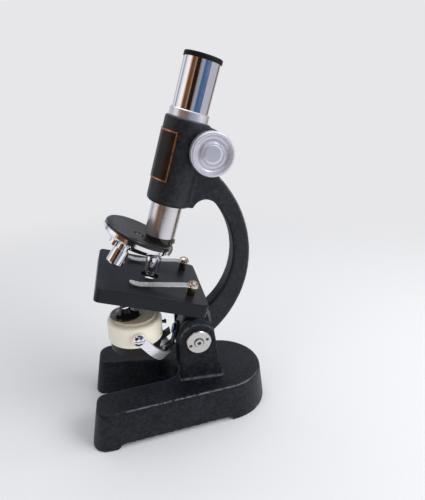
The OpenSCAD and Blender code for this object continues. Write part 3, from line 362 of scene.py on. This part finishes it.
def lamp(name, place, width, height, power, tint=(1, 1, 1)):
    """A soft light at a place, turned towards the instrument."""
    light = bpy.data.lights.new(name, "AREA")
    light.shape, light.size, light.size_y = "RECTANGLE", width, height
    light.energy, light.color = power, tint
    made = put(name, light)
    made.location = place
    aim = lamps_aim - made.location
    made.rotation_euler = aim.to_track_quat("-Z", "Y").to_euler()


lamp("window", (0.55, 0.85, 0.85), 0.7, 0.9, 8.0, (0.97, 0.98, 1.0))
lamp("low window", (0.80, 0.80, 0.30), 0.5, 0.5, 3.2, (1.0, 0.99, 0.97))
lamp("front fill", (0.75, -0.95, 0.55), 0.6, 0.8, 2.3)
lamp("rear window", (0.10, 1.25, 0.42), 0.5, 0.6, 4.0)
lamp("top", (-0.25, 0.0, 1.3), 0.9, 0.9, 4.6)
print("lamps:", len(bpy.data.lights))

# %% Screens that only reflections see
screen_colours = {"bright": (1.02, 1.03, 1.08), "orange": (0.72, 0.33, 0.12),
                  "brown": (0.12, 0.05, 0.025), "amber": (0.36, 0.17, 0.08),
                  "black": (0.012, 0.011, 0.012), "grey": (0.32, 0.36, 0.45),
                  "slate": (0.07, 0.13, 0.27), "lilac": (0.50, 0.51, 0.58),
                  "tan": (0.34, 0.22, 0.14)}
screen_out, screen_top, screen_lift = 0.95, 0.95, 1.2 * mm
screen_paint = {}
for name, colour in screen_colours.items():
    board = Finish("screen " + name)
    screen_paint[name] = board.close(
        board.node("ShaderNodeEmission", sockets={"Color": colour, "Strength": 1.0}))

# start and end angle from the front towards the camera, colour, nearest floor radius
screens = [(-14, 14, "bright", 0.20), (14, 22, "orange", 0.16), (22, 45, "brown", 0.30),
           (45, 54, "amber", 0.42), (54, 78, "black", 0.60), (78, 84, "amber", 0.60),
           (84, 101, "grey", 0.60), (101, 141, "slate", 0.60), (141, 198, "lilac", 0.70),
           (198, 212, "tan", 0.13), (212, 220, "black", 0.13), (250, 290, "grey", 0.13),
           (318, 332, "grey", 0.13)]
for start, end, kind, nearest in screens:
    screen = bmesh.new()
    corners = [screen.verts.new(place) for place in
               ((0, -nearest, screen_lift), (0, -screen_out, screen_lift),
                (0, -screen_out, screen_top))]
    line = corners + [screen.edges.new(corners[i:i + 2]) for i in (0, 1)]
    bmesh.ops.rotate(screen, matrix=Matrix.Rotation(math.radians(start), 3, "Z"),
                     verts=screen.verts)
    bmesh.ops.spin(screen, geom=line, axis=(0, 0, 1), cent=(0, 0, 0),
                   angle=math.radians(end - start), steps=12, use_merge=False)
    made = put_shape("screen_%s_%d" % (kind, start % 360), screen, screen_paint[kind])
    made.visible_camera = made.visible_shadow = False
    made.visible_diffuse = made.visible_transmission = False
print("screens:", len(screens))

# %% [markdown]
# ## Black enamel on the castings
#
# The base and the limb are rough castings under black stoving enamel. Close up the
# paint is not flat: it follows the sand-cast skin in small bumps about a millimetre
# across, and it is a little bluish. One could paint a texture, but it would stretch over
# the curved arm. Noise in object coordinates has no seams and keeps its grain size. The
# recipe takes a second one, which says where a casting is rubbed pale and where a pale
# highlight is painted along its rounded edges, in the same pale colour.

# %% The enamel
def casting_enamel(name, sheen, wear_and_highlight_places):
    """Stoved enamel over a cast skin. The second argument says where it is rubbed pale,
    and where pale highlights are painted on its edges.
    """
    paint = Finish(name)
    where = paint.place()
    skin = paint.noise(where, 1.3 * mm, 3.0, 0.65)
    fine = paint.noise(where, 0.35 * mm, 2.0)
    cloud = paint.noise(where, 9 * mm, 3.0, 0.6)
    tone = (skin * 0.8 + cloud * 0.4).step(0.46, 0.78)
    colour = paint.mix((0.0035, 0.0043, 0.0063), (0.014, 0.0170, 0.0235), tone)
    specks = (1 - paint.cells(where, 7 * mm).step(0.018, 0.034)) * cloud.step(0.5, 0.62)
    colour = paint.mix(colour, (0.20, 0.20, 0.20), specks * 0.7)
    dashes = paint.noise(where, 1.8 * mm, 3.0, 0.7).step(0.34, 0.56)
    wear_and_highlight = wear_and_highlight_places(paint, where) * dashes
    # Pale bluish grey: real wear where rubbed, painted highlight lines along rounded
    # edges.
    colour = paint.mix(colour, (0.15, 0.165, 0.20), wear_and_highlight * 0.75)
    rough = paint.lerp(0.36, 0.52, skin) - wear_and_highlight * 0.12
    normal = paint.bump(skin + fine * 0.25, 0.17 * mm, paint.soft_edge(1.6 * mm))
    return paint.surface(Base_Color=colour, Roughness=rough, Specular_IOR_Level=sheen,
                         Normal=normal)


print("the enamel's recipe is ready")

# %% [markdown]
# ## Where the castings are worn, and where highlights are painted
#
# Enamel wears at edges: along the base's upper edge, where hands carry the instrument,
# and at the end of the sleeve. Round the ears, at their feet and on the outer corners of
# the arm, the pale lines are painted highlights on the rounded edges, in the wear's
# colour. The wear could be painted on by hand. Here each place is found from its height,
# from its distance to the pin, or from the way the surface faces, so it needs no painted
# image.

# %% Rubbed edges and painted edge highlights of the base and the limb
base_rim = (28.0 * mm, 28.75 * mm)
ear_foot = (28.7 * mm, 29.9 * mm)
sleeve_mouth = (108.6 * mm, 109.3 * mm)
arm_behind = (18 * mm, 22 * mm)
toe_fade = (-52 * mm, -30 * mm)
ear_round = 14.1 * mm
ear_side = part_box("pivot_disc_right")[0][0]
pivot_middle = middle("pivot_pin")


def base_wear_and_highlights(paint, where):
    """Rubbed along the base's upper edge; painted highlights round the ears and at their
    feet.
    """
    x, y, z = paint.parts(where)
    out_x, out_y, out_z = paint.facing()
    outward = (x * out_x * 40 + (y - 0.02) * out_y * 12).step(0.15, 0.6)
    rim = z.band(*base_rim, 0.2 * mm) * out_z.band(0.3, 0.93, 0.08) * outward
    rim = rim * y.step(*toe_fade)
    aside = abs(x)
    from_pin = paint.length(paint.join(0.0, y - pivot_middle.y, z - pivot_middle.z))
    # Painted highlight: a pale line round the ears' rounded top edge.
    ear_arch_highlight = from_pin.band(ear_round - 1.0 * mm, ear_round - 0.1 * mm, 0.4 * mm)
    ear_arch_highlight = ear_arch_highlight * aside.step(ear_side - 0.6 * mm, ear_side - 0.2 * mm)
    ear_arch_highlight = ear_arch_highlight * z.step(pivot_middle.z - 4 * mm, pivot_middle.z + 6 * mm) * 0.45
    # Painted highlight: a pale line along the fillet at the ears' feet.
    ear_foot_highlight = z.band(*ear_foot, 0.3 * mm) * out_z.band(0.15, 0.9, 0.1)
    ear_foot_highlight = ear_foot_highlight * aside.band(ear_side - 0.2 * mm, ear_side + 1.4 * mm, 0.3 * mm) * 0.5
    return rim + ear_arch_highlight + ear_foot_highlight


def limb_wear_and_highlight(paint, where):
    """Rubbed at the end of the sleeve; a painted highlight along the arm's outer corners.
    """
    _, behind, s = paint.parts(paint.place(stage_centre, limb_turn))
    sleeve_end = s.band(*sleeve_mouth, 0.2 * mm) * 0.5
    out_x, out_y, _ = paint.facing()
    # Painted highlight: a pale line on the arm's rounded outer corners that face back.
    arm_corner_highlight = abs(out_x).band(0.40, 0.90, 0.06) * out_y.step(0.05, 0.35)
    return sleeve_end + arm_corner_highlight * behind.step(*arm_behind) * 0.6


base_enamel = casting_enamel("enamel base", 0.20, base_wear_and_highlights)
limb_enamel = casting_enamel("enamel limb", 0.34, limb_wear_and_highlight)
print("enamel nodes:", len(base_enamel.node_tree.nodes),
      "ears reach x =", round(ear_side / mm, 1))

# %% [markdown]
# ## Smooth blacks
#
# The stage is machined flat and sprayed satin black; slides have polished faint lines
# into it. The caps at both ends of the light path are moulded black plastic. One even
# black would do from afar, but close up it reads as a hole. Both are nearly the same
# colour here: only roughness and the fine relief, which noise varies, tell them apart.

# %% Satin black and mouldings
def satin_black(name):
    """Sprayed satin black with faint wipe marks."""
    paint = Finish(name)
    where = paint.place(stage_centre, limb_turn)
    wipe = paint.noise(paint.node("ShaderNodeMapping", {"vector_type": "POINT"},
                                  {"Vector": where, "Rotation": (0, 0, 0.5),
                                   "Scale": (0.25, 3.0, 1.0)}), 2.5 * mm, 3.0, 0.6)
    cloud = paint.noise(where, 14 * mm, 2.0)
    dust = paint.noise(where, 0.5 * mm, 2.0, 0.7)
    colour = paint.mix((0.006, 0.0065, 0.0085), (0.014, 0.0155, 0.020), cloud)
    colour = paint.mix(colour, (0.09, 0.09, 0.09), dust.step(0.68, 0.80) * 0.3)
    rough = paint.lerp(0.28, 0.44, wipe * 0.6 + cloud * 0.4)
    return paint.surface(Base_Color=colour, Roughness=rough, Specular_IOR_Level=0.20,
                         Normal=paint.bump(dust, 0.012 * mm, paint.soft_edge(0.5 * mm)))


def gloss_black(name, haze=0.5, coat=0.6, shine=0.10, mirror=0.5):
    """Moulded black plastic. haze says how dull its patches are."""
    paint = Finish(name)
    where = paint.place()
    cloud = paint.noise(where, 6 * mm, 3.0, 0.6)
    orange_peel = paint.noise(where, 1.6 * mm, 1.0)
    colour = paint.mix((0.006, 0.006, 0.007), (0.014, 0.014, 0.016), cloud)
    rough = paint.lerp(shine, shine + 0.3 * haze, cloud.step(0.35, 0.75))
    return paint.surface(Base_Color=colour, Roughness=rough, Coat_Weight=coat,
                         Coat_Roughness=0.06, Specular_IOR_Level=mirror,
                         Normal=paint.bump(orange_peel, 0.01 * mm))


stage_paint = satin_black("satin stage")
cap_moulding = gloss_black("moulding lens cap", 0.3, 0.3)
eye_cap_moulding = gloss_black("moulding eyepiece cap", 0.4, 0.0, 0.42, 0.07)
print("satin black and mouldings made")

# %% [markdown]
# ## The turret's disc
#
# The fixed disc and its plug are glossy lacquer, which fingers have dulled on the disc's
# flat, while its rim stayed bright. A mask by height would not do, because the disc
# leans. Its own radius and the way the surface faces find the flat at once.

# %% Lacquer that is dulled on the flat
disc_edge = (21.4 * mm, 22.4 * mm)


def disc_black(name):
    """Lacquer that hands have dulled on the disc's flat, while its rim stays glossy."""
    paint = Finish(name)
    radius, _, _ = paint.lathe(turret_centre, turret_turn)
    where = paint.place()
    cloud = paint.noise(where, 5 * mm, 3.0, 0.6)
    _, out_y, out_z = paint.facing()
    upward = out_y * math.sin(turret_lean) + out_z * math.cos(turret_lean)
    handled = (1 - radius.step(*disc_edge)) * upward.step(0.7, 0.9)
    dust = paint.noise(where, 0.7 * mm, 3.0, 0.7).step(0.6, 0.8)
    colour = paint.mix((0.006, 0.006, 0.007), (0.018, 0.017, 0.018), cloud)
    colour = paint.mix(colour, (0.08, 0.08, 0.08), dust * handled * 0.25)
    rough = paint.lerp(0.10, paint.lerp(0.26, 0.42, cloud), handled)
    return paint.surface(Base_Color=colour, Roughness=rough, Specular_IOR_Level=0.46,
                         Normal=paint.bump(dust * handled, 0.008 * mm,
                                           paint.soft_edge(0.4 * mm)))


disc_lacquer = disc_black("lacquer disc")
print("the disc's flat ends at radius", [round(v / mm, 1) for v in disc_edge], "mm")

# %% [markdown]
# ## Plated and turned metal
#
# Chrome is almost a mirror, so its recipe is about its flaws: slight differences in
# polish and tiny pits. The tube's satin nickel was brushed before it was plated. Knobs
# and collar are bare aluminium as it came off the lathe, with rings round the axis. The
# rings follow radius and height in the piece's own frame, so each turned piece needs its
# own axis, and that is why that recipe takes a frame.

# %% Recipes for smooth and for turned metal
def chrome(name, tint=(0.80, 0.81, 0.83), rough=0.07, flaws=1.0, metallic=1.0):
    """Smooth metal with pits and a slight ripple, as far as it has flaws."""
    metal = Finish(name)
    where = metal.place()
    polish = metal.noise(where, 5 * mm, 3.0, 0.6)
    pits = (1 - metal.cells(where, 2.4 * mm).step(0.03, 0.075)) * flaws
    colour = metal.mix(tint, tuple(0.35 * v for v in tint), pits * 0.7)
    ripple = metal.noise(where, 2.5 * mm, 2.0)
    return metal.surface(Base_Color=colour, Metallic=metallic,
                         Roughness=polish * 0.10 + pits * 0.3 + (rough - 0.03),
                         Normal=metal.bump(ripple, (0.001 + 0.011 * flaws) * mm))


def turned(name, origin, turn, tint, rough, ring=0.25 * mm, cut=0.006 * mm, streak=1.0,
           metallic=1.0):
    """Metal turned about a frame's Z axis, in rings of that width and that cut.

    streak says how much the rings show in the gloss."""
    metal = Finish(name)
    radius, angle, height = metal.lathe(origin, turn)
    rings = metal.noise(metal.join(radius, angle * (0.4 * mm), height), ring, 3.0, 0.6)
    cloud = metal.noise(metal.place(), 5 * mm, 2.0)
    colour = metal.mix(tuple(0.82 * v for v in tint), tint, rings * 0.7 + cloud * 0.3)
    value = metal.lerp(rough * 0.75, rough * 1.3, rings * streak * 0.6 + cloud * 0.4)
    return metal.surface(Base_Color=colour, Metallic=metallic, Roughness=value,
                         Normal=metal.bump(rings, cut))


print("metal recipes ready")

# %% [markdown]
# ## The metals of this instrument
#
# One recipe gives many metals: tint, roughness and flaws make brass, bronze or blued
# steel of it. A tint could be guessed for each, but worn plating is warmer or greyer than
# a table says, so these were matched. The clips, the fork and the knobs carry a
# thin dull film: a Metallic value below 1 lets them scatter some light, so they stay pale
# where there is nothing bright to reflect.

# %% Aluminium, nickel, chrome and small metals
aluminium = (0.78, 0.78, 0.80)
nickel = (0.66, 0.65, 0.63)
side_turn = (0, math.radians(90), 0)
pinion_middle = middle("pinion_shaft")
knob_metal = turned("aluminium knob", pinion_middle, side_turn, (0.76, 0.75, 0.81), 0.32,
                    0.09 * mm, 0.005 * mm, 1.0, 0.75)
collar_metal = turned("aluminium collar", stage_centre, limb_turn, aluminium, 0.34)
tube_metal = turned("nickel tube", stage_centre, limb_turn, (0.70, 0.69, 0.70), 0.27,
                    0.5 * mm, 0.0015 * mm, 0.6)
disc_metal = turned("nickel disc", pivot_middle, side_turn, nickel, 0.24, 0.3 * mm,
                    0.003 * mm, 0.5)
bright = chrome("chrome")
clip_metal = chrome("nickel clip", (0.70, 0.69, 0.65), 0.25, 0.0, 0.7)
post_metal = chrome("nickel post", (0.70, 0.56, 0.46), 0.16, 0.2)
fork_metal = chrome("satin fork", (0.86, 0.86, 0.90), 0.26, 0.2, 0.75)
brass = chrome("brass", (0.62, 0.43, 0.17), 0.24, 0.5)
dull_brass = chrome("dull brass", (0.24, 0.16, 0.08), 0.34, 0.6)
bronze = chrome("spring bronze", (0.13, 0.09, 0.065), 0.26, 0.4)
steel = chrome("steel", (0.36, 0.37, 0.39), 0.3, 0.6)
blued = chrome("blued steel", (0.015, 0.045, 0.16), 0.22)
print("metals made; pinion axis through", [round(v / mm, 1) for v in pinion_middle])

# %% [markdown]
# ## Cream plastic
#
# The lamp's housing is cream plastic that has yellowed slightly. Its lid is given a
# darker tan, which is painted shade from the stage above it. A pale paint would look
# like chalk, because a little light goes into the plastic and comes out again, which is
# what subsurface scattering is for. A weight of about a tenth is enough, more would
# make wax of it.

# %% The lamp's cream plastic
def cream_plastic(name, darker_tone, lighter_tone):
    """Cream plastic in clouds of two tones, with some grime."""
    moulding = Finish(name)
    where = moulding.place()
    cloud = moulding.noise(where, 10 * mm, 3.0, 0.6)
    fine = moulding.noise(where, 0.6 * mm, 2.0)
    grime = moulding.noise(where, 3 * mm, 4.0, 0.7).step(0.58, 0.78)
    colour = moulding.mix(darker_tone, lighter_tone, cloud)
    colour = moulding.mix(colour, (0.54, 0.46, 0.32), grime * 0.30)
    return moulding.surface(Base_Color=colour, Roughness=moulding.lerp(0.32, 0.5, cloud),
                            Subsurface_Weight=0.12, Subsurface_Scale=0.6 * mm,
                            Normal=moulding.bump(fine, 0.015 * mm))


cream = cream_plastic("cream plastic", (0.86, 0.79, 0.64), (0.93, 0.89, 0.78))
# Painted shade: the lid is given a darker tan for the shadow the stage casts on it.
lid_cream_shaded = cream_plastic("lid cream with painted shade", (0.56, 0.47, 0.33), (0.68, 0.59, 0.44))
print("cream plastics made")

# %% [markdown]
# ## Glass, mirror and dark plastic
#
# A lens could be a clear shell, but a thin shell hardly bends the light. These pieces are
# solid, so full transmission with the right refractive index is all they need. The
# mirror is the chrome recipe with a better polish, and its ring is dull dark plastic.

# %% Glass, mirror, dark plastic
def clear_glass(name, tint=(0.94, 0.97, 0.97)):
    """Solid glass with faint smears."""
    glass = Finish(name)
    smear = glass.noise(glass.place(), 3 * mm, 2.0)
    return glass.surface(Base_Color=tint, Roughness=smear * 0.04, IOR=1.52,
                         Transmission_Weight=1.0)


def dark_plastic(name):
    """Nearly black plastic with a dull, fine grain."""
    moulding = Finish(name)
    where = moulding.place()
    cloud = moulding.noise(where, 5 * mm, 3.0, 0.6)
    fine = moulding.noise(where, 0.4 * mm, 2.0)
    colour = moulding.mix((0.008, 0.006, 0.005), (0.018, 0.013, 0.010), cloud)
    return moulding.surface(Base_Color=colour, Roughness=moulding.lerp(0.34, 0.5, fine),
                            Specular_IOR_Level=0.25,
                            Normal=moulding.bump(fine, 0.02 * mm))


clear = clear_glass("clear glass")
dark = dark_plastic("dark plastic")
mirror_silver = chrome("mirror silver", (0.86, 0.87, 0.88), 0.03)
print("glass, mirror and dark plastic made")

# %% [markdown]
# ## The label
#
# A printed plate is wrapped round the front of the sleeve: black, with a thin copper
# line inside its edge. It is left without words. The line is drawn from the angle round
# the sleeve and the height along it, so it keeps its width all round.

# %% The bare label
label_radius = 15.2 * mm


def label_print(name, half_angle, low, high):
    """A black plate with a copper line, between two heights on the sleeve."""
    plate = Finish(name)
    where = plate.place(stage_centre, limb_turn)
    x, y, s = plate.parts(where)
    from_side = (half_angle - abs(x.angle(-y))) * label_radius
    inside = from_side.least((s - low).least(high - s))
    line = inside.band(0.25 * mm, 1.15 * mm, 0.12 * mm)
    rub = plate.noise(where, 1.2 * mm, 3.0, 0.7).step(0.25, 0.5)
    cloud = plate.noise(where, 4 * mm, 3.0)
    ground = plate.mix((0.006, 0.005, 0.005), (0.022, 0.014, 0.010), cloud)
    colour = plate.mix(ground, (0.42, 0.19, 0.08), line * rub)
    return plate.surface(Base_Color=colour, Metallic=line * 0.85, Specular_IOR_Level=0.16,
                         Roughness=plate.lerp(0.22, 0.36, cloud),
                         Normal=plate.bump(line, 0.03 * mm))


label = label_print("label print", math.radians(67), 68.4 * mm, 100.4 * mm)
print("label made")

# %% [markdown]
# ## Every CAD piece gets its finish
#
# A CAD node keeps its shape, and its object has a material slot that we fill. The table
# goes from finish to nodes, because that is how the real parts would be sorted for
# painting and plating.

# %% Hand out the finishes
finishes = {
    base_enamel: "base_casting",
    limb_enamel: "limb_casting",
    label: "label_plate",
    stage_paint: "stage fork_bracket eyepiece_barrel field_stop",
    disc_lacquer: "turret_plate",
    cap_moulding: "lens_cap lamp_switch",
    eye_cap_moulding: "eyepiece_cap",
    dark: "mirror_ring",
    bright: "draw_tube turret_dome objective_high objective_mid objective_low "
            "fork_pivots",
    fork_metal: "fork",
    clip_metal: "clip_left clip_right",
    post_metal: "clip_posts",
    tube_metal: "body_tube",
    knob_metal: "knob_left knob_right",
    collar_metal: "collar",
    disc_metal: "pivot_pin pivot_disc_left pivot_disc_right",
    brass: "friction_washers pinion_bushes pinion_gear rack turret_nut bulb_socket "
           "battery_contacts",
    dull_brass: "turret_screw spring_screw",
    bronze: "turret_spring clip_bushes",
    steel: "stage_screws fork_rivet pinion_shaft rack_screws battery_cell",
    blued: "fork_screw",
    cream: "lamp_drum",
    lid_cream_shaded: "lamp_lid",
    clear: "objective_lenses eye_lens field_lens lamp_lens bulb",
    mirror_silver: "mirror_glass",
}
dressed = set()
for finish, names in finishes.items():
    for name in names.split():
        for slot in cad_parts[name].material_slots:
            slot.material = finish
        dressed.add(name)
print("dressed", len(dressed), "of", len(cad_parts), "nodes; left out:",
      sorted(set(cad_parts) - dressed))

# %% [markdown]
# ## Castings with rounded corners
#
# A sand casting has no sharp corner: every edge is rounded and every inner corner has a
# small fillet, and both catch the light as a soft pale line. Bevelling hundreds of CAD
# edges often fails where they meet. Here each casting is copied, wrapped in an even skin
# of small squares by the Remesh modifier, and smoothed in rounds, which rounds all
# corners alike and leaves flat faces flat. The limb has softer corners, so it gets more
# rounds. The copy then stands for the CAD node. Smoothing also narrows a bore: that of
# the sleeve loses about six hundredths of a millimetre in radius.

# %% Cast copies of the base and the limb
same_point = 0.005 * mm


def cast_copy(node, body, paint, square, rounds):
    """A CAD casting with its corners rounded, ridden on a body."""
    raw = bmesh.new()
    raw.from_mesh(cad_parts[node].data)
    raw.transform(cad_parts[node].matrix_world)
    bmesh.ops.remove_doubles(raw, verts=raw.verts, dist=same_point)
    cast = put_shape(node + "_cast", raw, paint)
    skin = cast.modifiers.new("skin", "REMESH")
    skin.mode, skin.voxel_size, skin.use_smooth_shade = "VOXEL", square, True
    soften = cast.modifiers.new("soften", "SMOOTH")
    soften.factor, soften.iterations = 0.5, rounds
    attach(cast, body)
    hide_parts(node)
    finished = cast.evaluated_get(bpy.context.evaluated_depsgraph_get()).to_mesh()
    print(cast.name, "triangles:", sum(len(p.vertices) - 2 for p in finished.polygons))


cast_copy("base_casting", "base", base_enamel, 0.85 * mm, 8)
cast_copy("limb_casting", "limb", limb_enamel, 0.65 * mm, 22)
